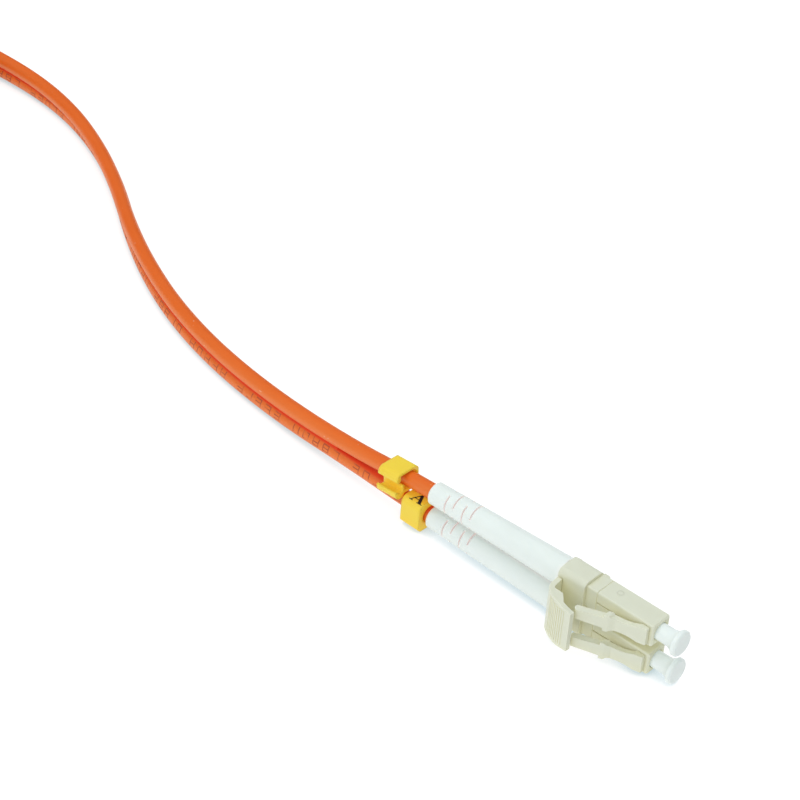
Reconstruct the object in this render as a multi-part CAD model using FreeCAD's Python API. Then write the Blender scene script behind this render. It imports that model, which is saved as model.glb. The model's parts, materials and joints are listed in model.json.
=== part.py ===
import FreeCAD, Part
import math
import os

# Duplex fibre patch cord: two small latched plugs in a clip at each end of a twin cord.
# Millimetres. One plug is drawn with x = 0 at its front face, +X the way it plugs in,
# its latch on the -Y side and z = 0 on its own axis. A clip holds two of them, one above the other.

Vector = FreeCAD.Vector
X_AXIS = Vector(1, 0, 0)
Y_AXIS = Vector(0, 1, 0)
Z_AXIS = Vector(0, 0, 1)

# Fits, and how far a cutter reaches past the face that it opens
slide_fit = 0.05
snug_fit = 0.03
seat_fit = 0.01
loose_fit = 0.15
past = 1.0

# Plug housing
plug_pitch = 6.25
housing_side = 4.52
housing_length = 12.0
housing_edge = 0.3
housing_nose_bevel = 0.25
front_bore_depth = 5.2
seat_wall = 0.8
spring_bore_radius = 1.6
groove_width = 0.3
groove_depth = 0.5
groove_length = 7.0
mouth_bevel = 0.2
seam_bevel = 0.12

# Latch arm, heights measured from the housing's latch side
latch_setback = 0.75
latch_length = 12.55
latch_root_height = 0.85
latch_front_rise = 1.35
latch_step_rise = 0.65
latch_step_length = 0.9
latch_tip_height = 4.85
latch_tip_thickness = 1.2
latch_tip_bevel = 0.55
latch_lift = 0.06
latch_pivot_back = 1.3
latch_bead_radius = 0.4
latch_bead_height = 0.08
latch_inner_start = 0.6
latch_inner_height = 0.3
latch_neck_thickness = 1.05
latch_root_width = 3.4
latch_root_length = 1.6
latch_waist_width = 2.4
latch_neck_width = 2.8
latch_lug_width = 3.5
latch_lug_back = 6.2
latch_lug_length = 1.1
latch_lug_ramp = 0.37
latch_arm_width = 2.35
latch_tip_width = 1.85

# Ferrule, its flange, the spring behind it and the fibre
ferrule_radius = 0.625
ferrule_tip = 1.7
ferrule_bevel = 0.15
flange_radius = 1.3
flange_length = 1.0
flange_tail_radius = 0.95
flange_tail_length = 2.0
ferrule_hold = 0.9
fibre_radius = 0.45
spring_wire_radius = 0.15
spring_wire_sides = 6
spring_mean_radius = 1.22
spring_pitch = 0.8
spring_length = 2.85
spring_end_gap = 0.03

# Rear body, crimp sleeve and boot
collar_side = 4.5
collar_length = 2.3
waist_side = 3.7
waist_length = 5.7
nose_radius = 1.55
post_radius = 1.5
post_length = 6.7
tab_length = 1.3
tab_height = 0.42
tab_width = 4.1
crimp_wall = 0.33
crimp_length = 6.6
boot_gap = 0.09
boot_length = 30.2
boot_wide_radius = 2.75
boot_narrow_radius = 2.15
boot_lip = 0.35
boot_lean = 0.91
slot_width = 0.3
slot_bridge = 1.5
slot_rows = (4.0, 5.8, 8.0, 9.8)

# Dust cap
cap_stem_radius = 1.58
cap_insert = 2.2
cap_neck = 2.0
cap_flare_length = 1.7
cap_rim_radius = 2.43
cap_rim_length = 0.9
cap_rim_bevel = 0.3
cap_socket_depth = 5.0

# Duplex clip and its trigger
clip_half_height = 6.0
clip_latch_wall = 1.02
clip_back_wall = 0.64
clip_round = 1.2
clip_back_round = 1.5
window_length = 2.8
window_width = 2.4
nub_length = 0.7
nub_height = 0.25
nub_width = 3.6
trigger_thickness = 0.95
trigger_foot_length = 1.9
trigger_foot_lean = 6.0
trigger_knee_radius = 1.7
trigger_knee_turn = 46.0
trigger_pad_radius = 9.5
trigger_pad_turn = 32.0
trigger_lip_length = 1.25
trigger_bead_radius = 0.5
trigger_bead_half = 4.0
trigger_bead_stand = 0.25
trigger_rear_half = 4.5
trigger_front_half = 4.15
trigger_shoulder_length = 3.3
wedge_height = 2.85
wedge_start = 1.5
wedge_flat = 1.9
wedge_slope = 2.0
wedge_bulge = 0.12
rib_count = 9
rib_spacing = 3.0
rib_height = 0.1
rib_width = 0.28
rib_half = 3.7
rib_first = 6.0

# Clip-on cord markers: a closed ring on the lower cord, a snap with a toothed jaw on the upper one
marker_fit = 0.2
ring_length = 4.3
ring_stand = 0.7
ring_height = 6.0
ring_depth = 5.7
ring_round = 1.2
ring_slit = 1.2
snap_length = 4.7
snap_stand = 5.7
snap_top = 2.15
snap_bottom = 2.2
snap_back = 1.98
snap_round = 0.9
jaw_reach = 3.5
jaw_wall = 1.0
jaw_round = 1.2
jaw_drop = 1.7
jaw_bevel = 0.3
gutter_reach = 3.9
gutter_wall = 0.4
gutter_rail = 1.7
gutter_drop = 0.7
gutter_depth = 0.6
gutter_round = 1.0

# Twin cord: half the distance between its two cords where they are joined
cord_radius = 1.5
joined_half = 1.52
cord_start_inside_boot = 10.3
cord_straight = 5.0
bend_share = 0.45

# Coil of the rest of the cord and its tie
coil_mean_radius = 30.3
coil_width = 8.4
coil_height = 12.2
coil_stand = 1.0
coil_centre = Vector(-240.0, 10.0, 0)
tie_thickness = 0.7
tie_gap = 0.3
tie_width = 9.0
tie_angle = 20.0

# The far plug lies beside the coil, pointing the same way
far_plug_shift = Vector(-155.4, -23.0, 0)

# How nearly parallel an edge is to an axis that it is said to run along
parallel = 0.999

# Places that follow from the sizes above
housing_half = housing_side / 2
latch_face = -housing_half
seam = -housing_length
seat = -(front_bore_depth + seat_wall)
cap_bore_radius = cap_stem_radius + slide_fit
latch_front = -latch_setback
latch_pivot = latch_front - latch_pivot_back
clip_front = seam - collar_length
clip_rear = clip_front - waist_length
clip_hole_half = waist_side / 2 + snug_fit
clip_latch_side = -(clip_hole_half + clip_latch_wall)
clip_back_side = clip_hole_half + clip_back_wall
post_end = clip_rear - post_length
boot_front = clip_rear - boot_gap
boot_end = boot_front - boot_length
boot_pivot = clip_rear - crimp_length / 2
crimp_radius = post_radius + snug_fit + crimp_wall
table = -clip_half_height
trigger_pivot_x = clip_rear + trigger_bead_radius + loose_fit
trigger_pivot_y = clip_latch_side - trigger_bead_stand


def flat(x, y):
    return Vector(x, y, 0)


def side(x, z):
    return Vector(x, 0, z)


def section(y, z):
    return Vector(0, y, z)


def block(x0, x1, y0, y1, z0, z1):
    return Part.makeBox(x1 - x0, y1 - y0, z1 - z0, Vector(x0, y0, z0))


def rod(radius, x0, x1):
    return Part.makeCylinder(radius, x1 - x0, Vector(x0, 0, 0), X_AXIS)


def upright(radius, x, y, half):
    return Part.makeCylinder(radius, 2 * half, Vector(x, y, -half), Z_AXIS)


def outline(start, steps):
    """A closed face. A step of one point is a straight edge, one of two points an arc through the first."""
    edges = []
    here = start
    for step in steps + [[start]]:
        if len(step) == 1:
            edges.append(Part.LineSegment(here, step[0]).toShape())
        else:
            edges.append(Part.Arc(here, step[0], step[1]).toShape())
        here = step[-1]
    return Part.Face(Part.Wire(edges))


def upright_plate(face, half):
    face.translate(Vector(0, 0, -half))
    return face.extrude(Vector(0, 0, 2 * half))


def turned(start, steps):
    return outline(start, steps).revolve(Vector(0, 0, 0), X_AXIS, 360)


def edges_along(shape, axis):
    return [e for e in shape.Edges if abs(e.tangentAt(e.FirstParameter).dot(axis)) > parallel]


def housing():
    body = block(seam, 0, -housing_half, housing_half, -housing_half, housing_half)
    body = body.makeFillet(housing_edge, edges_along(body, X_AXIS))
    body = body.makeChamfer(housing_nose_bevel, [e for e in body.Edges if e.BoundBox.XMin > -seat_fit])
    body = body.makeChamfer(seam_bevel, [e for e in body.Edges if e.BoundBox.XMax < seam + seat_fit])
    body = body.cut(rod(cap_bore_radius, -front_bore_depth, past))
    body = body.cut(rod(ferrule_radius + loose_fit, seat - past, past))
    body = body.cut(rod(spring_bore_radius, seam - past, seat))
    mouth_radius = cap_bore_radius + mouth_bevel
    body = body.cut(Part.makeCone(mouth_radius, cap_bore_radius, mouth_bevel, Vector(0, 0, 0), -X_AXIS))
    groove = outline(
        flat(seam - past, latch_face - past),
        [
            [flat(seam - past, latch_face + groove_depth)],
            [flat(seam, latch_face + groove_depth)],
            [flat(seam + groove_length, latch_face)],
            [flat(seam + groove_length, latch_face - past)],
        ],
    )
    body = body.cut(upright_plate(groove, groove_width / 2))
    trough = upright(
        latch_bead_radius + snug_fit,
        latch_pivot,
        latch_face - latch_bead_height,
        latch_root_width / 2,
    )
    return body.cut(trough)


def latch():
    """A sprung arm that rises backwards from its root near the plug's front, with two locking lugs."""
    tip_end = latch_front - latch_length
    tip_x = tip_end + latch_tip_bevel
    inner_start = latch_pivot - latch_inner_start
    lug_front = latch_front - latch_lug_back
    lug_top = lug_front - latch_lug_ramp
    step_front = lug_top + latch_step_length
    neck_height = latch_root_height + latch_front_rise

    def at(x, height):
        return flat(x, latch_face - height)

    profile = outline(
        at(latch_front, latch_lift),
        [
            [at(latch_front, latch_root_height)],
            [at(step_front, neck_height)],
            [at(lug_top, neck_height + latch_step_rise)],
            [at(tip_x, latch_tip_height)],
            [at(tip_end, latch_tip_height - latch_tip_bevel)],
            [at(tip_end, latch_tip_height - latch_tip_thickness)],
            [at(step_front, neck_height - latch_neck_thickness)],
            [at(inner_start, latch_inner_height)],
            [at(latch_pivot, latch_lift)],
        ],
    )
    arm = upright_plate(profile, latch_lug_width)
    root_back = latch_front - latch_root_length
    lug_back = lug_front - latch_lug_length
    root_half = latch_root_width / 2
    waist_half = latch_waist_width / 2
    neck_half = latch_neck_width / 2
    lug_half = latch_lug_width / 2
    arm_half = latch_arm_width / 2
    tip_half = latch_tip_width / 2
    waist = (root_back + lug_front) / 2
    widths = outline(
        side(latch_front + past, root_half),
        [
            [side(root_back, root_half)],
            [side(waist, waist_half), side(lug_front, neck_half)],
            [side(lug_top, lug_half)],
            [side(lug_back, lug_half)],
            [side(lug_back, arm_half)],
            [side(tip_end - past, tip_half)],
            [side(tip_end - past, -tip_half)],
            [side(lug_back, -arm_half)],
            [side(lug_back, -lug_half)],
            [side(lug_top, -lug_half)],
            [side(lug_front, -neck_half)],
            [side(waist, -waist_half), side(root_back, -root_half)],
            [side(latch_front + past, -root_half)],
        ],
    )
    reach = 2 * (housing_half + latch_tip_height)
    widths.translate(Vector(0, -reach, 0))
    arm = arm.common(widths.extrude(Vector(0, reach, 0)))
    bead_half = root_half - slide_fit
    bead = upright(latch_bead_radius, latch_pivot, latch_face - latch_bead_height, bead_half)
    return arm.fuse(bead).removeSplitter()


def ferrule():
    back = seat - ferrule_hold
    return turned(
        side(back, 0),
        [
            [side(back, ferrule_radius)],
            [side(ferrule_tip - ferrule_bevel, ferrule_radius)],
            [side(ferrule_tip, ferrule_radius - ferrule_bevel)],
            [side(ferrule_tip, 0)],
        ],
    )


def flange():
    collar_back = seat - flange_length
    tail_back = collar_back - flange_tail_length
    body = rod(flange_radius, collar_back, seat)
    body = body.fuse(rod(flange_tail_radius, tail_back, collar_back)).removeSplitter()
    body = body.cut(rod(ferrule_radius + seat_fit, seat - ferrule_hold, seat + past))
    return body.cut(rod(fibre_radius + seat_fit, tail_back - past, seat))


def spring_space():
    """Front and back of the spring: the flange's collar and the rear body's nose."""
    front = seat - flange_length - spring_end_gap
    return front, front - spring_length


def spring():
    """A coil of fine wire, drawn with flat sides."""
    helix = Part.makeHelix(spring_pitch, spring_length - 2 * spring_wire_radius, spring_mean_radius)
    corners = []
    for number in range(spring_wire_sides + 1):
        angle = 2 * math.pi * number / spring_wire_sides
        out = spring_mean_radius + spring_wire_radius * math.cos(angle)
        corners.append(side(out, spring_wire_radius * math.sin(angle)))
    turns = Part.Wire(helix).makePipeShell([Part.makePolygon(corners)], True, True)
    turns.rotate(Vector(0, 0, 0), Y_AXIS, 90)
    turns.translate(Vector(spring_space()[1] + spring_wire_radius, 0, 0))
    return turns


def fibre():
    return rod(fibre_radius, boot_end + cord_start_inside_boot + past, seat - ferrule_hold)


def rear_body():
    half = collar_side / 2
    waist = waist_side / 2
    nose_front = spring_space()[1] - spring_end_gap
    body = block(clip_front, seam, -half, half, -half, half)
    body = body.makeFillet(housing_edge, edges_along(body, X_AXIS))
    body = body.makeChamfer(seam_bevel, [e for e in body.Edges if e.BoundBox.XMin > seam - seat_fit])
    body = body.fuse(block(clip_rear, clip_front, -waist, waist, -waist, waist))
    body = body.fuse(rod(nose_radius, seam, nose_front))
    body = body.fuse(rod(post_radius, post_end, clip_rear))
    tab_front = clip_front + snug_fit + tab_length
    tab = outline(
        flat(tab_front, half - tab_height),
        [
            [flat(tab_front, half + tab_height / 2)],
            [flat(tab_front - tab_height, half + tab_height)],
            [flat(tab_front - tab_length, half + tab_height)],
            [flat(tab_front - tab_length, half - tab_height)],
        ],
    )
    body = body.fuse(upright_plate(tab, tab_width / 2)).removeSplitter()
    return body.cut(rod(fibre_radius + loose_fit, post_end - past, nose_front + past))


def crimp_sleeve():
    back = clip_rear - loose_fit - crimp_length
    sleeve = rod(crimp_radius, back, clip_rear - loose_fit)
    return sleeve.cut(rod(post_radius + snug_fit, back - past, clip_rear + past))


def boot(lean):
    """A tapered tail with rows of short slots near its narrow end, leaning by a few tenths of a degree."""
    crimp_back = clip_rear - crimp_length - 2 * loose_fit
    crimp_bore = crimp_radius + loose_fit
    cord_bore = cord_radius + slide_fit
    body = turned(
        side(boot_front, crimp_bore),
        [
            [side(boot_front, boot_wide_radius)],
            [side(boot_end + boot_lip, boot_narrow_radius)],
            [side(boot_end, boot_narrow_radius - boot_lip)],
            [side(boot_end, cord_bore)],
            [side(crimp_back - crimp_bore + cord_bore, cord_bore)],
            [side(crimp_back, crimp_bore)],
        ],
    )
    reach = boot_wide_radius + past
    for number, row in enumerate(slot_rows):
        x = boot_end + row
        quarter_turn = 90 * (number % 2)
        for turn in (quarter_turn, quarter_turn + 180):
            slot = block(x, x + slot_width, slot_bridge / 2, reach, -reach, reach)
            slot.rotate(Vector(0, 0, 0), X_AXIS, turn)
            body = body.cut(slot)
    body.rotate(Vector(boot_pivot, 0, 0), Y_AXIS, lean)
    return body


def dust_cap():
    flare_end = cap_neck + cap_flare_length
    rise = cap_rim_radius - cap_stem_radius
    flare_radius = (cap_flare_length**2 + rise**2) / (2 * rise)
    half_turn = math.atan2(cap_flare_length, flare_radius - rise) / 2
    flare_mid = side(
        cap_neck + flare_radius * math.sin(half_turn),
        cap_stem_radius + flare_radius * (1 - math.cos(half_turn)),
    )
    socket_radius = ferrule_radius + slide_fit
    end = flare_end + cap_rim_length
    return turned(
        side(-cap_insert, socket_radius),
        [
            [side(-cap_insert, cap_stem_radius)],
            [side(cap_neck, cap_stem_radius)],
            [flare_mid, side(flare_end, cap_rim_radius)],
            [side(end - cap_rim_bevel, cap_rim_radius)],
            [side(end, cap_rim_radius - cap_rim_bevel)],
            [side(end, 0)],
            [side(cap_socket_depth - cap_insert, 0)],
            [side(cap_socket_depth - cap_insert, socket_radius)],
        ],
    )


def duplex_clip():
    body = block(
        clip_rear, clip_front, clip_latch_side, clip_back_side, -clip_half_height, clip_half_height
    )
    long_edges = edges_along(body, X_AXIS)
    body = body.makeFillet(clip_round, [e for e in long_edges if e.CenterOfMass.y < 0])
    back_edges = [e for e in edges_along(body, X_AXIS) if e.CenterOfMass.y > clip_back_side - snug_fit]
    body = body.makeFillet(clip_back_round, back_edges)
    middle = (clip_front + clip_rear) / 2
    for z in (-plug_pitch / 2, plug_pitch / 2):
        h = clip_hole_half
        body = body.cut(block(clip_rear - past, clip_front + past, -h, h, z - h, z + h))
        body = body.cut(
            block(
                middle - window_length / 2,
                middle + window_length / 2,
                0,
                clip_back_side + past,
                z - window_width / 2,
                z + window_width / 2,
            )
        )
        nub = block(
            clip_rear,
            clip_rear + nub_length,
            clip_back_side - nub_height,
            clip_back_side + nub_height,
            z - nub_width / 2,
            z + nub_width / 2,
        )
        body = body.fuse(nub)
    trough = upright(
        trigger_bead_radius + snug_fit, trigger_pivot_x, trigger_pivot_y, trigger_bead_half + slide_fit
    )
    return body.cut(trough).removeSplitter()


def bent_strip(x, y, heading, steps, thickness):
    """A strip of even thickness seen edge on: its steps are straight (length, 0) or arcs (radius, turn)."""
    half = thickness / 2
    right = []
    left = []

    def offset(px, py, angle, distance):
        return flat(px + distance * math.sin(angle), py - distance * math.cos(angle))

    angle = math.radians(heading)
    start = offset(x, y, angle, half)
    left_start = offset(x, y, angle, -half)
    for size, turn in steps:
        if turn == 0:
            x += size * math.cos(angle)
            y += size * math.sin(angle)
            right.append([offset(x, y, angle, half)])
            left.append([offset(x, y, angle, -half)])
        else:
            cx = x - size * math.sin(angle)
            cy = y + size * math.cos(angle)
            middle = angle + math.radians(turn) / 2
            angle += math.radians(turn)
            mid_x = cx + size * math.sin(middle)
            mid_y = cy - size * math.cos(middle)
            x = cx + size * math.sin(angle)
            y = cy - size * math.cos(angle)
            right.append([offset(mid_x, mid_y, middle, half), offset(x, y, angle, half)])
            left.append([offset(mid_x, mid_y, middle, -half), offset(x, y, angle, -half)])
    back = []
    ends = [left_start] + [step[-1] for step in left]
    for number in range(len(left) - 1, -1, -1):
        back.append(left[number][:-1] + [ends[number]])
    return outline(start, right + [[ends[-1]]] + back)


def s_curve(x0, z0, x1, z1):
    """Two equal arcs that leave and arrive level, as steps of an outline."""
    length = abs(x1 - x0)
    rise = abs(z1 - z0)
    radius = (length**2 + rise**2) / (4 * rise)
    quarter = math.atan2(rise, length)
    run = math.copysign(radius * math.sin(quarter), x1 - x0)
    climb = math.copysign(radius * (1 - math.cos(quarter)), z1 - z0)
    middle = side((x0 + x1) / 2, (z0 + z1) / 2)
    return [[side(x0 + run, z0 + climb), middle], [side(x1 - run, z1 - climb), side(x1, z1)]]


def trigger_frame():
    """The heading at the pad's start, and the centre of the pad's arc."""
    angle = math.radians(trigger_foot_lean - 90)
    x = trigger_pivot_x + trigger_foot_length * math.cos(angle)
    y = trigger_pivot_y + trigger_foot_length * math.sin(angle)
    x -= trigger_knee_radius * math.sin(angle)
    y += trigger_knee_radius * math.cos(angle)
    angle += math.radians(trigger_knee_turn)
    x += (trigger_knee_radius - trigger_pad_radius) * math.sin(angle)
    y -= (trigger_knee_radius - trigger_pad_radius) * math.cos(angle)
    return math.degrees(angle), x, y


def trigger_wedge(cx, cy):
    """The thick back of the thumb plate: level towards the clip, then sloping down to the thin lip."""
    level = clip_latch_side - wedge_height
    rear = clip_rear + wedge_start
    slope = rear + wedge_flat
    lip = slope + wedge_slope

    def pad(x):
        return flat(x, cy - math.sqrt(trigger_pad_radius**2 - (x - cx) ** 2))

    bulge = flat((slope + lip) / 2, (level + pad(lip).y) / 2 + wedge_bulge)
    return outline(
        pad(rear),
        [
            [pad((rear + lip) / 2), pad(lip)],
            [bulge, flat(slope, level)],
            [flat(rear, level)],
        ],
    )


def trigger():
    """A ribbed thumb plate that folds up from the clip's back edge and reaches forward over both latches."""
    strip = bent_strip(
        trigger_pivot_x,
        trigger_pivot_y,
        trigger_foot_lean - 90,
        [
            (trigger_foot_length, 0),
            (trigger_knee_radius, trigger_knee_turn),
            (trigger_pad_radius, trigger_pad_turn),
            (trigger_lip_length, 0),
        ],
        trigger_thickness,
    )
    heading, cx, cy = trigger_frame()
    body = upright_plate(strip, trigger_rear_half)
    body = body.fuse(upright_plate(trigger_wedge(cx, cy), trigger_rear_half))
    front = body.BoundBox.XMax
    reach = -body.BoundBox.YMin + past
    rear = clip_rear - past
    shoulder = front - trigger_shoulder_length
    wide = trigger_rear_half
    narrow = trigger_front_half
    shape = outline(
        side(rear, wide),
        [
            [side(shoulder, wide)],
            *s_curve(shoulder, wide, front, narrow),
            [side(front + past, narrow)],
            [side(front + past, -narrow)],
            [side(front, -narrow)],
            *s_curve(front, -narrow, shoulder, -wide),
            [side(rear, -wide)],
        ],
    )
    shape.translate(Vector(0, -reach, 0))
    body = body.common(shape.extrude(Vector(0, reach, 0)))
    body = body.fuse(upright(trigger_bead_radius, trigger_pivot_x, trigger_pivot_y, trigger_bead_half))
    face_radius = trigger_pad_radius + trigger_thickness / 2
    for number in range(rib_count):
        angle = math.radians(heading + rib_first + number * rib_spacing)
        inner = -face_radius + rib_height
        outer = -face_radius - rib_height
        rib = block(-rib_width / 2, rib_width / 2, outer, inner, -rib_half, rib_half)
        rib.rotate(Vector(0, 0, 0), Z_AXIS, math.degrees(angle))
        rib.translate(flat(cx, cy))
        body = body.fuse(rib)
    return body.removeSplitter()


def marker_ring():
    """A clip-on collar: a rounded block round the cord, split at the back. x = 0 is its front end."""
    deep = ring_depth / 2
    high = ring_height / 2
    body = block(-ring_length, 0, -deep, deep, -high, high)
    body = body.makeFillet(ring_round, edges_along(body, X_AXIS))
    body = body.cut(rod(cord_radius + marker_fit, -ring_length - past, past))
    slit = ring_slit / 2
    return body.cut(block(-ring_length - past, past, 0, deep + past, -slit, slit))


def marker_snap():
    """A collar that snaps over the cord: a toothed jaw above hangs over a gutter on the jaw below."""
    bore = cord_radius + marker_fit
    front = -jaw_reach
    inside = front + jaw_wall
    tooth = snap_top - jaw_drop
    rail = -bore - gutter_wall
    rail_top = gutter_rail - snap_bottom
    low = -snap_bottom - gutter_drop
    lip = low + gutter_round + gutter_depth
    out = -gutter_reach
    diagonal = 1 - math.sqrt(0.5)
    jaw_corner = jaw_round * diagonal
    gutter_corner = gutter_round * diagonal
    face = outline(
        section(0, bore),
        [
            [section(bore, 0), section(0, -bore)],
            [section(-bore, -bore)],
            [section(-bore, rail_top)],
            [section(rail, rail_top)],
            [section(rail, lip - gutter_depth)],
            [section(out + gutter_wall + gutter_depth, lip - gutter_depth)],
            [section(out + gutter_wall, lip)],
            [section(out, lip)],
            [section(out, low + gutter_round)],
            [section(out + gutter_corner, low + gutter_corner), section(out + gutter_round, low)],
            [section(rail, low)],
            [section(rail + gutter_wall, -snap_bottom)],
            [section(snap_back, -snap_bottom)],
            [section(snap_back, snap_top)],
            [section(front + jaw_round, snap_top)],
            [section(front + jaw_corner, snap_top - jaw_corner), section(front, snap_top - jaw_round)],
            [section(front, tooth + jaw_bevel)],
            [section(front + jaw_bevel, tooth)],
            [section(inside, tooth + jaw_bevel)],
            [section(inside, bore)],
        ],
    )
    body = face.extrude(Vector(-snap_length, 0, 0))
    back_edges = [e for e in edges_along(body, X_AXIS) if e.CenterOfMass.y > snap_back - snug_fit]
    return body.makeFillet(snap_round, back_edges)


def leaning(x):
    """Half the distance between the two cords at x, where they leave along the boots."""
    return plug_pitch / 2 - (boot_pivot - x) * math.tan(math.radians(boot_lean))


cord_start = boot_end + cord_start_inside_boot
cord_bend = boot_end - cord_straight
lying = table + cord_radius + joined_half + snug_fit
coil_bottom = table + coil_stand
coil_lower = coil_bottom + coil_height / 4
coil_upper = coil_bottom + 3 * coil_height / 4

# The twin cord's middle line from inside the boots: x, y, z and half the distance between the cords
near_route = [
    (cord_start, 0, 0, leaning(cord_start)),
    (cord_bend, 0, 0, leaning(cord_bend)),
    (-71.0, 1.2, -1.55, 1.53),
    (-90.0, 2.7, lying + 0.05, joined_half),
    (-108.0, 5.0, lying, joined_half),
    (-124.0, 9.2, lying, joined_half),
    (-138.5, 15.2, lying, joined_half),
    (-152.0, 22.5, lying, joined_half),
    (-164.0, 30.5, lying, joined_half),
    (-177.0, 37.6, lying, joined_half),
    (-191.0, 43.0, lying, joined_half),
    (-206.0, 45.6, lying + 0.1, joined_half),
    (-224.0, 44.7, lying + 0.6, joined_half),
    (-243.4, 42.6, coil_lower, joined_half),
]

# The other end's middle line, in the far plug's own place: out of its boots and up to the coil
far_route = [
    (cord_start, 0, 0, leaning(cord_start)),
    (cord_bend, 0, 0.1, leaning(cord_bend)),
    (-72.0, 0.15, 2.3, 1.7),
    (-86.0, 0.3, coil_upper, joined_half),
]


def cord_line(route, way):
    """Straight runs joined by tangent arcs, each as large as its two runs allow."""
    points = [Vector(x, y, z + way * half) for x, y, z, half in route]
    edges = []
    radii = []
    here = points[0]
    for before, corner, after in zip(points, points[1:], points[2:]):
        back = (before - corner).normalize()
        ahead = (after - corner).normalize()
        turn = math.pi - back.getAngle(ahead)
        reach = bend_share * min((before - corner).Length, (after - corner).Length)
        radius = reach / math.tan(turn / 2)
        radii.append(round(radius, 1))
        start = corner + back * reach
        end = corner + ahead * reach
        inward = (back + ahead).normalize()
        middle = corner + inward * (radius / math.cos(turn / 2) - radius)
        edges.append(Part.LineSegment(here, start).toShape())
        edges.append(Part.Arc(start, middle, end).toShape())
        here = end
    edges.append(Part.LineSegment(here, points[-1]).toShape())
    return edges, radii


def cord(name, route, way):
    edges, radii = cord_line(route, way)
    path = Part.Wire(edges)
    first = edges[0]
    heading = first.tangentAt(first.FirstParameter)
    ring = Part.Circle(first.valueAt(first.FirstParameter), heading, cord_radius).toShape()
    body = path.makePipeShell([Part.Wire([ring])], True, False)
    ratio = round(body.Volume / (math.pi * cord_radius**2 * path.Length), 4)
    print(name, "length", round(path.Length, 1), "radii", radii, "volume ratio", ratio)
    return body


def on_cord(body, route, way, distance):
    """Set a piece on a cord, its front end that far along it."""
    for edge in cord_line(route, way)[0]:
        if distance <= edge.Length:
            place = edge.getParameterByLength(distance)
            heading = edge.tangentAt(place)
            turn = FreeCAD.Rotation(-X_AXIS, heading)
            body.Placement = FreeCAD.Placement(edge.valueAt(place), turn)
            return body
        distance -= edge.Length
    raise ValueError("the cord is shorter than that")


def coil():
    outer = coil_mean_radius + coil_width / 2
    inner = coil_mean_radius - coil_width / 2
    centre = coil_centre + Vector(0, 0, coil_bottom)
    ring = Part.makeCylinder(outer, coil_height, centre)
    return ring.cut(Part.makeCylinder(inner, coil_height, centre))


def coil_tie():
    """A strap once round the coil's bundle, square to it."""
    outer = coil_mean_radius + coil_width / 2 + tie_gap
    inner = coil_mean_radius - coil_width / 2
    chord = math.sqrt(inner**2 - (tie_width / 2) ** 2) - tie_gap
    top = coil_bottom + coil_height + tie_gap
    half = tie_width / 2
    low = table + tie_thickness
    strap = block(chord - tie_thickness, outer + tie_thickness, -half, half, table, top + tie_thickness)
    strap = strap.makeFillet(tie_thickness, edges_along(strap, Y_AXIS))
    strap = strap.cut(block(chord, outer, -half - past, half + past, low, top))
    strap.rotate(Vector(0, 0, 0), Z_AXIS, tie_angle)
    strap.translate(coil_centre)
    return strap


def plug_end(prefix):
    """Every piece of one end of the patch cord, by name."""
    nodes = {}
    for name, way in (("upper", 1), ("lower", -1)):
        pieces = {
            "housing": housing(),
            "latch": latch(),
            "ferrule": ferrule(),
            "ferrule_flange": flange(),
            "ferrule_spring": spring(),
            "fibre": fibre(),
            "rear_body": rear_body(),
            "crimp_sleeve": crimp_sleeve(),
            "boot": boot(-way * boot_lean),
            "dust_cap": dust_cap(),
        }
        for piece, body in pieces.items():
            body.translate(Vector(0, 0, way * plug_pitch / 2))
            nodes[f"{prefix}{piece}_{name}"] = body
    nodes[prefix + "duplex_clip"] = duplex_clip()
    nodes[prefix + "trigger"] = trigger()
    return nodes


def markers(prefix, route):
    upper = on_cord(marker_snap(), route, 1, cord_start_inside_boot + snap_stand)
    lower = on_cord(marker_ring(), route, -1, cord_start_inside_boot + ring_stand)
    return {prefix + "marker_upper": upper, prefix + "marker_lower": lower}


def build():
    near = plug_end("")
    extent = Part.makeCompound(list(near.values())).optimalBoundingBox()
    near.update(markers("", near_route))
    near["cord_upper"] = cord("cord_upper", near_route, 1)
    near["cord_lower"] = cord("cord_lower", near_route, -1)
    far = plug_end("far_")
    far.update(markers("far_", far_route))
    far["far_cord_upper"] = cord("far_cord_upper", far_route, 1)
    far["far_cord_lower"] = cord("far_cord_lower", far_route, -1)
    for body in far.values():
        body.translate(far_plug_shift)
    # The part's origin: under the middle of the near plug pair, on the table
    origin = Vector((extent.XMin + extent.XMax) / 2, (extent.YMin + extent.YMax) / 2, table)
    print("origin in the plug's own frame", origin)
    nodes = {**near, **far, "cord_coil": coil(), "coil_tie": coil_tie()}
    os.makedirs("parts", exist_ok=True)
    for name, body in nodes.items():
        body.translate(-origin)
        body.exportStep(f"parts/{name}.step")
        if not body.isValid() or len(body.Solids) != 1:
            print("look at", name, "valid", body.isValid(), "solids", len(body.Solids))


build()
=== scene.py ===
import json
import math

import bmesh
import bpy
from bpy.props import FloatProperty, FloatVectorProperty, IntProperty, PointerProperty
from mathutils import Matrix, Vector


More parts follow.
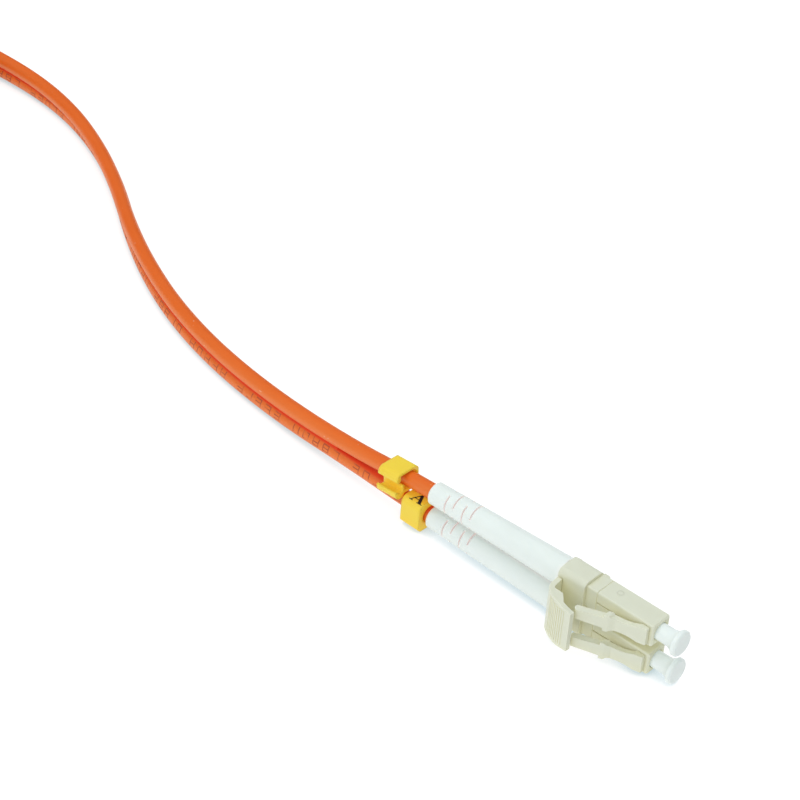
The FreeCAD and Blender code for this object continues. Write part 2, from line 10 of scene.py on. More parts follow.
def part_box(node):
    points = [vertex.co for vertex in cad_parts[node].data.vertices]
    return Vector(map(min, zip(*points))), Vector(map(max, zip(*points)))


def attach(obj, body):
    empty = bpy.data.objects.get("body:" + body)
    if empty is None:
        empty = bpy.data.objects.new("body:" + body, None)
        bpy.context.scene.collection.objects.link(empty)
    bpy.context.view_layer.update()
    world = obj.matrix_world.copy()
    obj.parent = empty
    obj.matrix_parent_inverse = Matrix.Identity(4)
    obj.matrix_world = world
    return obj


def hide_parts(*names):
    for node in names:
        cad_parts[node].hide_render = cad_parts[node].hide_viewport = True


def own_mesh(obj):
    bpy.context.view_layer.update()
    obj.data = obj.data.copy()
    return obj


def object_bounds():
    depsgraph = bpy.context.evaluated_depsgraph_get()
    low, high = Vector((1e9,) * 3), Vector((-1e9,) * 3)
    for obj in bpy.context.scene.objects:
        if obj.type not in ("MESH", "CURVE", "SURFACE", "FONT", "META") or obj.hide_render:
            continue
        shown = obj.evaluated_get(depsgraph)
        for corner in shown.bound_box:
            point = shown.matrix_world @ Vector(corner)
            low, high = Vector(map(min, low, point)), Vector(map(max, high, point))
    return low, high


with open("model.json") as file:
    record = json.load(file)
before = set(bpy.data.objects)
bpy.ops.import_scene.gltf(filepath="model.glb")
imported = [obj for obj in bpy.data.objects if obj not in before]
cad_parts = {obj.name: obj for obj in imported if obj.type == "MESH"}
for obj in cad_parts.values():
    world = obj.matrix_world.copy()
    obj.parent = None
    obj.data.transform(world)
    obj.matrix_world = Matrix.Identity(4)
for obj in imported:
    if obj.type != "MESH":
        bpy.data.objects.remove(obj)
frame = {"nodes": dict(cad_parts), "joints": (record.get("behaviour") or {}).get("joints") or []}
cad_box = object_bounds()

bl_info = {
    "name": "Duplex patch cord",
    "version": (1, 0, 0),
    "blender": (4, 5, 0),
    "location": "View3D > Sidebar > Patch cord",
    "description": "Dresses a duplex fibre patch cord: twin jacket, plugs, boots, caps and markers",
    "category": "Object",
}

ENDS = ("", "far_")
LEVELS = ("upper", "lower")
ROOT = "patch_cord"
DOWN = Vector((0, 0, -1))


def middle(node):
    low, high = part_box(node)
    return (low + high) / 2


def plug_front(end):
    """The zero of a plug pair's own places: the middle of its front, between the two plugs."""
    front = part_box(end + "housing_upper")[1].x
    return Vector((front, middle(end + "housing_upper").y, middle(end + "duplex_clip").z))


def pair(piece):
    """The nodes of one piece of the plugs, at both ends and both levels."""
    return [f"{end}{piece}_{level}" for end in ENDS for level in LEVELS]


def both_ends(piece):
    return [end + piece for end in ENDS]


# Shader expressions and finishes

BLACK = (0, 0, 0, 1)
WHITE = (1, 1, 1, 1)
# How many finer waves lie over a noise's own
SINGLE, SMOOTH, PLAIN, RICH = 0.0, 1.0, 2.0, 3.0
# Rays that feel for edges and gaps, and the lean of the normal where the paler corners begin and are full
EDGE_RAYS = 6
GAP_RAYS = 8
PALE_CORNER_LEAN = (0.01, 0.2)


class Socket:
    """A shader output that can stand in a Python expression."""

    def __init__(self, finish, output):
        self.finish = finish
        self.output = output

    def math(self, operation, *values):
        return self.finish.node("ShaderNodeMath", {"operation": operation}, dict(enumerate(values)))

    def __add__(self, other):
        return self.math("ADD", self, other)

    __radd__ = __add__

    def __sub__(self, other):
        return self.math("SUBTRACT", self, other)

    def __rsub__(self, other):
        return self.math("SUBTRACT", other, self)

    def __mul__(self, other):
        return self.math("MULTIPLY", self, other)

    __rmul__ = __mul__

    def __truediv__(self, other):
        return self.math("DIVIDE", self, other)

    def __rtruediv__(self, other):
        return self.math("DIVIDE", other, self)

    def __gt__(self, other):
        return self.math("GREATER_THAN", self, other)

    def __lt__(self, other):
        return self.math("LESS_THAN", self, other)

    def __abs__(self):
        return self.math("ABSOLUTE", self)

    def whole(self):
        return self.math("FLOOR", self)

    def part(self):
        return self.math("FRACT", self)

    def larger(self, other):
        return self.math("MAXIMUM", self, other)

    def arcsine(self):
        return self.math("ARCSINE", self)

    def rise(self, low, high):
        """0 below low, 1 above high, and smooth between them."""
        settings = {"interpolation_type": "SMOOTHSTEP"}
        return self.finish.node("ShaderNodeMapRange", settings, {0: self, 1: low, 2: high})


class Finish:
    """A procedural material round one Principled shader."""

    def __init__(self, name, **constants):
        self.material = bpy.data.materials.new(name)
        self.material.use_nodes = True
        self.tree = self.material.node_tree
        self.tree.nodes.clear()
        shader = self.node("ShaderNodeBsdfPrincipled")
        self.shader = shader.output.node
        self.node("ShaderNodeOutputMaterial", None, {"Surface": shader}, None)
        for socket, value in constants.items():
            self.shader.inputs[socket.replace("_", " ")].default_value = value

    def node(self, kind, settings=None, sockets=None, output=0):
        """One new node: its settings first, then the values or links of its sockets."""
        made = self.tree.nodes.new(kind)
        for name, value in (settings or {}).items():
            setattr(made, name, value)
        for name, value in (sockets or {}).items():
            if isinstance(value, Socket):
                self.tree.links.new(value.output, made.inputs[name])
            else:
                made.inputs[name].default_value = value
        return None if output is None else Socket(self, made.outputs[output])

    def place(self, stretch=None):
        """Where a point of the surface is, in metres, each axis times its stretch."""
        place = self.node("ShaderNodeTexCoord", output="Object")
        return self.vector("MULTIPLY", place, stretch) if stretch else place

    def vector(self, operation, first, second, output="Vector"):
        settings = {"operation": operation}
        return self.node("ShaderNodeVectorMath", settings, {0: first, 1: second}, output)

    def noise(self, scale, detail=PLAIN, stretch=None):
        sockets = {"Vector": self.place(stretch), "Scale": scale, "Detail": detail}
        return self.node("ShaderNodeTexNoise", None, sockets)

    def random(self, number):
        return self.node("ShaderNodeTexWhiteNoise", {"noise_dimensions": "1D"}, {"W": number})

    def attribute(self, name):
        return self.node("ShaderNodeAttribute", {"attribute_name": name}, output="Fac")

    def blend(self, first, second, share):
        colours = {0: share, 6: first, 7: second}
        return self.node("ShaderNodeMix", {"data_type": "RGBA"}, colours, 2)

    def tones(self, colour, factors, share):
        """From a darker to a paler tone of one colour."""
        return self.blend(*(shade(colour, factor) for factor in factors), share)

    def bump(self, height, strength, distance, under=None):
        sockets = {"Height": height, "Strength": strength, "Distance": distance}
        if under:
            sockets["Normal"] = under
        return self.node("ShaderNodeBump", None, sockets)

    def soft_edges(self, radius):
        return self.node("ShaderNodeBevel", {"samples": EDGE_RAYS}, {"Radius": radius})

    def corner_paleness(self, soft_normal):
        """0 on flat faces, rising to 1 on the corners that soft_edges rounds."""
        normal = self.node("ShaderNodeNewGeometry", output="Normal")
        return (1 - self.vector("DOT_PRODUCT", soft_normal, normal, "Value")).rise(*PALE_CORNER_LEAN)

    def open_air(self, reach):
        """1 on open faces, falling to 0 deep in gaps that are narrower than the reach."""
        settings = {"samples": GAP_RAYS}
        return self.node("ShaderNodeAmbientOcclusion", settings, {"Distance": reach}, "AO")

    def feed(self, **sockets):
        for name, value in sockets.items():
            self.tree.links.new(value.output, self.shader.inputs[name.replace("_", " ")])
        return self.material


def shade(colour, factor=1.0):
    return tuple(min(1.0, c * factor) for c in colour[:3]) + (1.0,)


def dress(nodes, material):
    """Give CAD nodes a finish."""
    for name in nodes:
        mesh = frame["nodes"][name].data
        mesh.materials.clear()
        mesh.materials.append(material)


# Moulded plastic: clouds and grain to a metre, strength and depth of grain, tones as shares of its
# colour, among them its paler corners and its painted deep shade, where the painted shade in a gap is
# deepest, the tint of the light inside it, and how uneven its roughness is
PLASTIC_CLOUDS = 260.0
PLASTIC_GRAIN = 5000.0
GRAIN_BUMP = (0.22, 2e-5)
PLASTIC_TONES = (0.955, 1.025)
PALE_CORNER_TONE = 1.08
PAINTED_DEEP_SHADE_TONE = 0.3
PAINTED_DEEP_SHADE_RISE = (0.8, 0.97)
MILKY_TINT = (1.0, 0.95, 0.85)
CLOUD_ROUGHNESS = 0.12
GRAIN_ROUGHNESS = 0.06


def moulded(name, looks, marks=None, edge=None, **constants):
    """Moulded plastic: faint clouds in its colour, paler corners, painted shade and a painted glow in its
    gaps, and a fine grain.
    """
    finish = Finish(
        name,
        Specular_IOR_Level=looks.shine,
        Subsurface_Weight=looks.milky,
        Subsurface_Radius=MILKY_TINT,
        Subsurface_Scale=looks.milky_depth,
        # Strength of the painted glow in the gaps
        Emission_Strength=looks.painted_gap_glow,
        **constants,
    )
    cloud = finish.noise(PLASTIC_CLOUDS, RICH)
    grain = finish.noise(PLASTIC_GRAIN)
    edges = finish.soft_edges(edge or looks.edge_radius)
    colour = finish.tones(looks.colour, PLASTIC_TONES, cloud)
    colour = finish.blend(colour, shade(looks.colour, PALE_CORNER_TONE), finish.corner_paleness(edges) * cloud)
    # Painted shade: an occlusion measure darkens gaps and hollows toward the gap colour, and the narrowest
    # gaps go darker still
    gap = 1 - finish.open_air(looks.gap_reach)
    deep = gap.rise(*PAINTED_DEEP_SHADE_RISE) * looks.painted_deep_shade_share
    colour = finish.blend(colour, shade(looks.painted_gap_colour), gap * looks.painted_shade_share)
    colour = finish.blend(colour, shade(looks.painted_gap_colour, PAINTED_DEEP_SHADE_TONE), deep)
    # Painted glow: gaps give out light in the gap colour, standing for light that passes through the thin
    # plastic and bounces between its faces
    through = finish.blend(BLACK, shade(looks.painted_gap_colour), gap * (1 - deep))
    normal = edges
    if marks:
        normal = finish.bump(marks(finish), *PIN_BUMP, normal)
    normal = finish.bump(grain, *GRAIN_BUMP, normal)
    roughness = looks.roughness + CLOUD_ROUGHNESS * (cloud - 0.5) + GRAIN_ROUGHNESS * (grain - 0.5)
    return finish.feed(
        Base_Color=colour, Roughness=roughness, Emission_Color=through, Normal=normal
    )


# Metal: tones as shares of its colour, patches to a metre and their change of roughness, and the
# strength and depth of its lines
METAL_TONES = (0.85, 1.08)
METAL_PATCHES = 900.0
PATCH_ROUGHNESS = 0.15
PATCH_LEVEL = 0.4
LINE_BUMP = (0.15, 1e-5)


def metal(name, colour, roughness, lines):
    """Drawn or turned metal: duller patches, and fine lines, so many to a metre along each axis."""
    finish = Finish(name, Metallic=1.0)
    line = finish.noise(1.0, PLAIN, lines)
    patch = finish.noise(METAL_PATCHES, RICH)
    tone = finish.tones(colour, METAL_TONES, (line + patch) / 2)
    normal = finish.bump(line, *LINE_BUMP)
    uneven = roughness + PATCH_ROUGHNESS * (patch - PATCH_LEVEL)
    return finish.feed(Base_Color=tone, Roughness=uneven, Normal=normal)


# A housing's pin mark, from the plug pair's front, the share of its line that is full, and its
# strength and depth
PIN_MARK = Vector((-0.0092, 0.0004, 0))
PIN_RADIUS = 0.00055
PIN_LINE = 0.00012
PIN_CORE = 0.2
PIN_BUMP = (1.0, 8e-5)


def pin_marks(finish):
    """The faint round marks that ejector pins leave on a housing's broad sides."""
    flat = finish.place((1, 1, 0))
    mark = None
    for end in ENDS:
        centre = plug_front(end) + PIN_MARK
        distance = finish.vector("DISTANCE", flat, (centre.x, centre.y, 0), "Value")
        ring = 1 - abs(distance - PIN_RADIUS).rise(PIN_CORE * PIN_LINE, PIN_LINE)
        mark = ring if mark is None else mark.larger(ring)
    return mark


# Sizes and colours that a user would change


class JacketSizes(bpy.types.PropertyGroup):
    """The twin jacket."""

    radius: FloatProperty(
        name="Cord radius", description="Radius of each cord", default=0.0015, unit="LENGTH"
    )
    web: FloatProperty(
        name="Web", description="Thickness of the web between the cords", default=0.0015, unit="LENGTH"
    )
    web_reach: FloatProperty(
        name="Web reach", description="Widest half spacing it spans", default=0.0016, unit="LENGTH"
    )
    sides: IntProperty(name="Sides", description="Faces round each cord", default=32, min=8)
    samples: IntProperty(
        name="Samples", description="Steps of the spline between two points", default=12, min=4
    )
    coil_radius: FloatProperty(
        name="Coil radius", description="Middle of the coil's outer turn", default=0.0329, unit="LENGTH"
    )
    coil_pitch: FloatProperty(
        name="Coil pitch", description="Distance between neighbouring turns", default=0.003, unit="LENGTH"
    )
    coil_entry: FloatProperty(
        name="Coil entry", description="Where the cord enters", default=math.radians(96), subtype="ANGLE"
    )
    coil_turns: FloatProperty(name="Coil turns", description="Turns in the two layers", default=3.483)
    coil_step: FloatProperty(
        name="Coil step", description="Share of a turn that climbs a layer", default=0.16
    )
    points_per_turn: IntProperty(
        name="Points per turn", description="Control points in a turn", default=16, min=12
    )
    colour: FloatVectorProperty(
        name="Jacket", description="Orange of the jacket", subtype="COLOR", default=(0.71, 0.107, 0.007)
    )
    # Painted bounce light: the deep red that the crease between the cords is painted, standing for light
    # passed between them
    painted_crease_bounce: FloatVectorProperty(
        name="Groove", description="Deep red between the cords", subtype="COLOR", default=(0.56, 0.010, 0.0)
    )
    # Painted glow in that crease, standing for light that the cords pass to each other
    painted_bounce_glow: FloatProperty(
        name="Groove glow", description="Light that the cords pass to each other", default=0.2
    )
    ink: FloatVectorProperty(
        name="Ink", description="Colour of the print", subtype="COLOR", default=(0.34, 0.05, 0.028)
    )
    print_pitch: FloatProperty(
        name="Print pitch", description="From one printed sign to the next", default=0.0027, unit="LENGTH"
    )
    print_width: FloatProperty(
        name="Print width", description="Width of a sign", default=0.0014, unit="LENGTH"
    )
    print_height: FloatProperty(
        name="Print height", description="Height of a sign", default=0.0013, unit="LENGTH"
    )
    print_stroke: FloatProperty(
        name="Print stroke", description="Width of a stroke", default=0.00024, unit="LENGTH"
    )
    print_group: IntProperty(
        name="Print group", description="Signs in a group, its gap among them", default=6
    )
    print_rise: FloatProperty(
        name="Print rise", description="Its angle up the side", default=math.radians(20), subtype="ANGLE"
    )


class Plastic:
    """What every moulded plastic has."""

    roughness: FloatProperty(name="Roughness", description="How matt it is", default=0.45, subtype="FACTOR")
    shine: FloatProperty(
        name="Shine", description="Strength of its reflections", default=0.3, subtype="FACTOR"
    )
    milky: FloatProperty(
        name="Milky", description="Share of light that goes into it", default=0.35, subtype="FACTOR"
    )
    milky_depth: FloatProperty(
        name="Milky depth", description="How deep light goes", default=6e-4, unit="LENGTH"
    )
    edge_radius: FloatProperty(
        name="Edge radius", description="Softening of edges", default=1.5e-4, unit="LENGTH"
    )
    gap_reach: FloatProperty(
        name="Gap reach", description="Widest gap that looks deep", default=0.003, unit="LENGTH"
    )
    # Painted shade: how far gaps and hollows darken toward the gap colour
    painted_shade_share: FloatProperty(
        name="Gap share", description="How far gaps take their own colour", default=0.5
    )
    # Painted glow: strength of the light that gaps give out, standing for light through the plastic
    painted_gap_glow: FloatProperty(
        name="Gap light", description="Light that comes through into gaps", default=0.36
    )
    # Painted shade: how far the narrowest gaps go darker still
    painted_deep_shade_share: FloatProperty(name="Deep share", description="How dark the narrowest gaps go", default=0.0)


class PlugPlastic(Plastic, bpy.types.PropertyGroup):
    """The beige plastic of the plugs and clips."""

    colour: FloatVectorProperty(
        name="Plug", description="Beige of the plugs", subtype="COLOR", default=(0.60, 0.615, 0.50)
    )
    # Painted shade and painted glow: the olive that the plugs' gaps darken to and glow with
    painted_gap_colour: FloatVectorProperty(
        name="Plug gaps", description="Olive of gaps", subtype="COLOR", default=(0.50, 0.47, 0.24)
    )
    gap_reach: FloatProperty(
        name="Gap reach", description="Widest gap that looks deep", default=0.004, unit="LENGTH"
    )
    rib_edge: FloatProperty(
        name="Rib edge", description="Softening of the trigger's ribs", default=4e-5, unit="LENGTH"
    )
    # Painted shade: how far the plugs' narrowest gaps go darker still
    painted_deep_shade_share: FloatProperty(name="Deep share", description="How dark the narrowest gaps go", default=0.85)


class BootPlastic(Plastic, bpy.types.PropertyGroup):
    """The white rubber-like plastic of the boots."""

    colour: FloatVectorProperty(
        name="Boot", description="White of the boots", subtype="COLOR", default=(0.68, 0.73, 0.70)
    )
    # Painted shade and painted glow: the pink grey of the boots' slots, standing for the orange cord's
    # light bounced inside them
    painted_gap_colour: FloatVectorProperty(
        name="Boot gaps", description="Pink grey of slots", subtype="COLOR", default=(0.68, 0.57, 0.555)
    )
    gap_reach: FloatProperty(
        name="Gap reach", description="Widest gap that looks deep", default=0.0012, unit="LENGTH"
    )
    # Painted glow: strength of the light that the boots' slots give out
    painted_gap_glow: FloatProperty(
        name="Gap light", description="Light that comes through into gaps", default=0.5
    )
    # Painted shade: how far the boots' narrowest slots go darker still
    painted_deep_shade_share: FloatProperty(name="Deep share", description="How dark the narrowest gaps go", default=0.3)


class CapPlastic(Plastic, bpy.types.PropertyGroup):
    """The smooth white plastic of the dust caps."""

    colour: FloatVectorProperty(
        name="Cap", description="White of the caps", subtype="COLOR", default=(0.69, 0.74, 0.715)
    )
    # Painted shade and painted glow: the grey of the caps' gaps
    painted_gap_colour: FloatVectorProperty(
        name="Cap gaps", description="Grey of gaps", subtype="COLOR", default=(0.55, 0.62, 0.62)
    )
    coat: FloatProperty(name="Coat", description="Gloss on the caps", default=0.15, subtype="FACTOR")


class MarkerPlastic(Plastic, bpy.types.PropertyGroup):
    """The yellow plastic of the cord markers, and the ink of their letter."""

    colour: FloatVectorProperty(
        name="Marker", description="Yellow of the markers", subtype="COLOR", default=(0.75, 0.56, 0.05)
    )
    # Painted shade and painted glow: the amber of the markers' gaps
    painted_gap_colour: FloatVectorProperty(
        name="Marker gaps", description="Amber of gaps", subtype="COLOR", default=(0.70, 0.36, 0.01)
    )
    edge_radius: FloatProperty(
        name="Edge radius", description="Softening of edges", default=6e-4, unit="LENGTH"
    )
    ink: FloatVectorProperty(
        name="Letter", description="Ink of the letter", subtype="COLOR", default=(0.018, 0.014, 0.012)
    )
    letter_height: FloatProperty(
        name="Letter height", description="Height of the letter", default=0.0024, unit="LENGTH"
    )
    letter_stand: FloatProperty(
        name="Letter stand", description="How far the ink stands proud", default=2.5e-5, unit="LENGTH"
    )


class SpringSizes(bpy.types.PropertyGroup):
    """The spring behind each ferrule."""

    wire: FloatProperty(name="Wire", description="Radius of the wire", default=0.00015, unit="LENGTH")
    radius: FloatProperty(
        name="Radius", description="Middle radius of the turns", default=0.00122, unit="LENGTH"
    )
    pitch: FloatProperty(
        name="Pitch", description="From one turn to the next", default=0.0008, unit="LENGTH"
    )
    sides: IntProperty(name="Sides", description="Faces round the wire", default=8, min=4)
    points_per_turn: IntProperty(name="Points per turn", description="Steps in a turn", default=28, min=12)


class StrapSizes(bpy.types.PropertyGroup):
    """The strap round the coil."""

    angle: FloatProperty(
        name="Angle", description="Where it sits on the coil", default=math.radians(20), subtype="ANGLE"
    )
    width: FloatProperty(name="Width", description="Width of the strap", default=0.009, unit="LENGTH")
    thickness: FloatProperty(
        name="Thickness", description="Thickness of the strap", default=0.0007, unit="LENGTH"
    )
    overlap: FloatProperty(name="Overlap", description="Turns of the strap", default=1.22)
    squareness: FloatProperty(name="Squareness", description="2 is round, more is squarer", default=5.0)
    colour: FloatVectorProperty(
        name="Strap", description="Black of the woven strap", subtype="COLOR", default=(0.022, 0.022, 0.024)
    )


class StageSizes(bpy.types.PropertyGroup):
    """Camera, floor and light."""

    turn: FloatProperty(
        name="Turn", description="Camera round the plug", default=math.radians(39.193), subtype="ANGLE"
    )
    rise: FloatProperty(
        name="Rise", description="Camera above the floor", default=math.radians(37.641), subtype="ANGLE"
    )
    roll: FloatProperty(
        name="Roll", description="Camera's roll", default=math.radians(4.737), subtype="ANGLE"
    )
    eye: FloatVectorProperty(
        name="Eye",
        description="Camera from the plug pair's front",
        default=(0.1749, -0.28786, 0.30427),
        subtype="TRANSLATION",
    )
    lens: FloatProperty(name="Lens", description="Focal length in millimetres", default=121.36)
    floor: FloatProperty(name="Floor", description="Side of the floor", default=4.0, unit="LENGTH")
    floor_colour: FloatVectorProperty(
        name="Floor colour", description="Pale floor", subtype="COLOR", default=(0.24, 0.24, 0.24)
    )
    floor_glow: FloatProperty(
        name="Floor glow", description="Light that the floor gives by itself", default=0.85
    )
    shadow_colour: FloatVectorProperty(
        name="Shadow colour", description="Floor by the part", subtype="COLOR", default=(0.50, 0.63, 0.67)
    )
    shadow_reach: FloatProperty(
        name="Shadow reach", description="Width of that shadow", default=0.0028, unit="LENGTH"
    )
    sky_colour: FloatVectorProperty(
        name="Sky colour", description="Tint of the even light", subtype="COLOR", default=(0.93, 0.975, 1.0)
    )
    sky: FloatProperty(name="Sky", description="Strength of the even light", default=0.74)
    key: FloatProperty(name="Key", description="Power of the large light above, in watts", default=3.4)
    fill: FloatProperty(name="Fill", description="Power of the light from the front, in watts", default=4.2)


class CordLooks(bpy.types.PropertyGroup):
    """Every group of values, by piece."""

    jacket: PointerProperty(type=JacketSizes)
    plug: PointerProperty(type=PlugPlastic)
    boot: PointerProperty(type=BootPlastic)
    cap: PointerProperty(type=CapPlastic)
    marker: PointerProperty(type=MarkerPlastic)
    spring: PointerProperty(type=SpringSizes)
    strap: PointerProperty(type=StrapSizes)
    stage: PointerProperty(type=StageSizes)


# The twin cord's middle line in its plug's own place: x, y, z, half the height between the cords,
# and how far the lower one lies behind the upper

NEAR_ROUTE = (
    (-0.0400, 0, 0, 0.00286, 0),
    (-0.0553, 0, 0, 0.00262, 0),
    (-0.0710, 0.0012, -0.00155, 0.00153, 0),
    (-0.0900, 0.0027, -0.0029, 0.00152, 0),
    (-0.1080, 0.0050, -0.00295, 0.00152, 0),
    (-0.1240, 0.0092, -0.00295, 0.00152, 0),
    (-0.1385, 0.0152, -0.00295, 0.00152, 0.0002),
    (-0.1520, 0.0225, -0.0030, 0.00147, 0.0007),
    (-0.1640, 0.0305, -0.0031, 0.00140, 0.0011),
    (-0.1770, 0.0376, -0.0032, 0.00136, 0.0013),
    (-0.1910, 0.0430, -0.0031, 0.00142, 0.0010),
    (-0.2060, 0.0456, -0.00295, 0.00148, 0.0006),
    (-0.2240, 0.0447, -0.0024, 0.00152, 0.0003),
    (-0.2434, 0.0426, -0.00195, 0.00152, 0),
)
FAR_ROUTE = (
    (-0.0400, 0, 0, 0.00286, 0),
    (-0.0553, 0, 0.0001, 0.00262, 0),
    (-0.0720, 0.00015, 0.0023, 0.0017, 0),
    (-0.0860, 0.0003, 0.00415, 0.00152, 0),
)


def turn_radius(sizes, turn):
    """The coil's radius after so many turns: it shrinks on the lower layer and grows on the upper."""
    return sizes.coil_radius - sizes.coil_pitch * min(turn, sizes.coil_turns - turn)


def coil_rows(sizes):
    """The coil's middle line: inward on the lower layer, a step up, and outward on the upper one."""
    centre = middle("cord_coil")
    low = plug_front("").z + NEAR_ROUTE[-1][2]
    high = plug_front("far_").z + FAR_ROUTE[-1][2]
    half = NEAR_ROUTE[-1][3]
    count = round(sizes.coil_turns * sizes.points_per_turn)
    outside = 1 / math.cos(math.pi / sizes.points_per_turn)
    rows = []
    for number in range(1, count):
        turn = sizes.coil_turns * number / count
        angle = sizes.coil_entry + math.tau * turn
        climb = (turn - sizes.coil_turns / 2) / sizes.coil_step + 0.5
        climb = min(1.0, max(0.0, climb))
        out = Vector((math.cos(angle), math.sin(angle), 0)) * turn_radius(sizes, turn) * outside
        rows.append((centre.x + out.x, centre.y + out.y, low + (high - low) * climb, half, 0))
    return rows


def placed(route, front):
    """A route's rows in the frame."""
    return [(front.x + x, front.y + y, front.z + z, half, lean) for x, y, z, half, lean in route]


def cord_rows(sizes):
    """The whole cord's control points in the frame, from the near boots to the far ones."""
    near = placed(NEAR_ROUTE, plug_front(""))
    far = placed(reversed(FAR_ROUTE), plug_front("far_"))
    return near + coil_rows(sizes) + far


def smooth_line(points, samples):
    """Points read from the smooth spline that these control points give."""
    curve = bpy.data.curves.new("route", "CURVE")
    curve.dimensions = "3D"
    spline = curve.splines.new("NURBS")
    spline.points.add(len(points) - 1)
    for place, point in zip(spline.points, points):
        place.co = (*point, 1)
    spline.order_u = 3
    spline.use_endpoint_u = True
    spline.resolution_u = samples
    carrier = bpy.data.objects.new("route", curve)
    mesh = bpy.data.meshes.new_from_object(carrier)
    line = [vertex.co.copy() for vertex in mesh.vertices]
    bpy.data.objects.remove(carrier)
    bpy.data.meshes.remove(mesh)
    bpy.data.curves.remove(curve)
    return line


def smooth_mesh(name, body, crease):
    """The finished mesh of a body, smooth but for edges sharper than the crease."""
    mesh = bpy.data.meshes.new(name)
    body.to_mesh(mesh)
    body.free()
    mesh.shade_smooth()
    mesh.set_sharp_from_angle(angle=crease)
    return mesh


def new_piece(context, name, mesh, material):
    """Link a new piece that rides on the cord's own body."""
    mesh.materials.append(material)
    piece = bpy.data.objects.new(name, mesh)
    context.scene.collection.objects.link(piece)
    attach(piece, ROOT)
    return piece


def skin(body, rings):
    """Close a run of rings into a tube with two ends."""
    for first, second in zip(rings, rings[1:]):
        for side in range(len(first)):
            other = (side + 1) % len(first)
            body.faces.new((first[side], first[other], second[other], second[side]))
    body.faces.new(rings[0][::-1])
    body.faces.new(rings[-1])


# The pieces of the far plugs that come in pairs, can be seen and would go where the cord goes; the jacket
# step gathers them but moves none
CARRIED = (
    "housing", "latch", "rear_body", "boot", "dust_cap", "marker", "ferrule", "ferrule_flange"
)
# What each point of the jacket knows: its way along the cord, whether the cords are joined there, its
# height and side round its cord, and 1 on the upper cord
JACKET_MARKS = ("along", "joined", "up", "out", "level")
JACKET_CREASE = math.radians(50)
# How far apart the cords are, in web reaches, where they no longer count as joined
PARTED = 3
WEB_CORNERS = ((1, 1), (1, -1), (-1, -1), (-1, 1))


class PATCHCORD_OT_twin_jacket(bpy.types.Operator):
    """Sweep the two jackets and the web between them along the cord's route"""

    bl_idname = "patchcord.twin_jacket"
    bl_label = "Twin jacket"

    def execute(self, context):
        sizes = context.scene.patch_cord.jacket
        rows = cord_rows(sizes)
        upper = smooth_line([(x, y, z + half) for x, y, z, half, lean in rows], sizes.samples)
        lower = smooth_line([(x, y + lean, z - half) for x, y, z, half, lean in rows], sizes.samples)
        line = [(a + b) / 2 for a, b in zip(upper, lower)]
        steps = self.steps(upper, lower, line, sizes)
        body = bmesh.new()
        marks = [body.verts.layers.float.new(name) for name in JACKET_MARKS]
        self.tube(body, marks, upper, steps, sizes, 1.0)
        self.tube(body, marks, lower, steps, sizes, 0.0)
        self.web(body, marks, upper, lower, steps, sizes)
        mesh = smooth_mesh("twin_jacket", body, JACKET_CREASE)
        piece = new_piece(context, "twin_jacket", mesh, jacket_finish(sizes))
        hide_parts("cord_upper", "cord_lower", "far_cord_upper", "far_cord_lower", "cord_coil")
        carried = [f"far_{part}_{level}" for part in CARRIED for level in LEVELS]
        carried += ["far_duplex_clip", "far_trigger", "far_marker_letter"]
        carried += ["marker_upper", "marker_lower", "marker_letter", "coil_strap"]
        sum((b - a).length for a, b in zip(line, line[1:]))
        return {"FINISHED"}

    def steps(self, upper, lower, line, sizes):
        """At each step: how far along, whether the cords are joined, the way up and the way out."""
        found = []
        along = 0.0
        for number, point in enumerate(line):
            before = line[max(number - 1, 0)]
            after = line[min(number + 1, len(line) - 1)]
            along += (point - before).length
            heading = (after - before).normalized()
            apart = upper[number] - lower[number]
            out = heading.cross(apart).normalized()
            joined = min(1.0, max(0.0, PARTED - apart.length / sizes.web_reach))
            found.append((along, joined, out.cross(heading).normalized(), out))
        return found

    def point(self, body, marks, place, values):
        vertex = body.verts.new(place)
        for mark, value in zip(marks, values):
            vertex[mark] = value
        return vertex

    def tube(self, body, marks, line, steps, sizes, level):
        rings = []
        for centre, (along, joined, rise, out) in zip(line, steps):
            ring = []
            for side in range(sizes.sides):
                angle = math.tau * side / sizes.sides
                up, sideways = math.cos(angle), math.sin(angle)
                place = centre + sizes.radius * (up * rise + sideways * out)
                ring.append(self.point(body, marks, place, (along, joined, up, sideways, level)))
            rings.append(ring)
        skin(body, rings)

    def web(self, body, marks, upper, lower, steps, sizes):
        rings = []
        for above, below, (along, joined, rise, out) in zip(upper, lower, steps):
            if joined < 1:
                continue
            reach = (above - below).length / 2 - sizes.radius + sizes.web / 2
            ring = []
            for up, sideways in WEB_CORNERS:
                place = (above + below) / 2 + up * reach * rise + sideways * sizes.web / 2 * out
                ring.append(self.point(body, marks, place, (along, joined, -1.0, sideways, 1.0)))
            rings.append(ring)
        skin(body, rings)


# The jacket's finish: noises in waves to a metre, tones as shares of its colour, and pairs of where a
# mark begins and is full
JACKET_CLOUDS = 45.0
JACKET_STREAKS = 1400.0
STREAK_STRETCH = (0.03, 0.6, 1.0)
STREAK_BUMP = (0.12, 3e-5)
JACKET_TONES = (0.93, 1.06)
CLOUD_SHARE = 0.6
STREAK_SHARE = 0.4
SHEEN_TINT = (0.45, 1.0, 0.5, 1.0)
# Where the painted red bounce light between the cords begins and is full, joined and parted, and its share
# where they part
JOINED_PAINTED_BOUNCE = (0.64, 0.94)
OPEN_PAINTED_BOUNCE = (0.3, 0.9)
OPEN_PAINTED_BOUNCE_SHARE = 0.65
SPECKS = 1500.0
SPECK_RISE = (0.83, 0.86)
SPECK_COLOUR = (0.85, 0.6, 0.45, 1.0)
SPECK_SHARE = 0.4
INK_WEAR = 700.0
INK_RISE = (0.15, 0.6)
INK_SHARE = 0.9
JACKET_ROUGHNESS = 0.4
STREAK_ROUGHNESS = 0.1
MARK_ROUGHNESS = 0.45


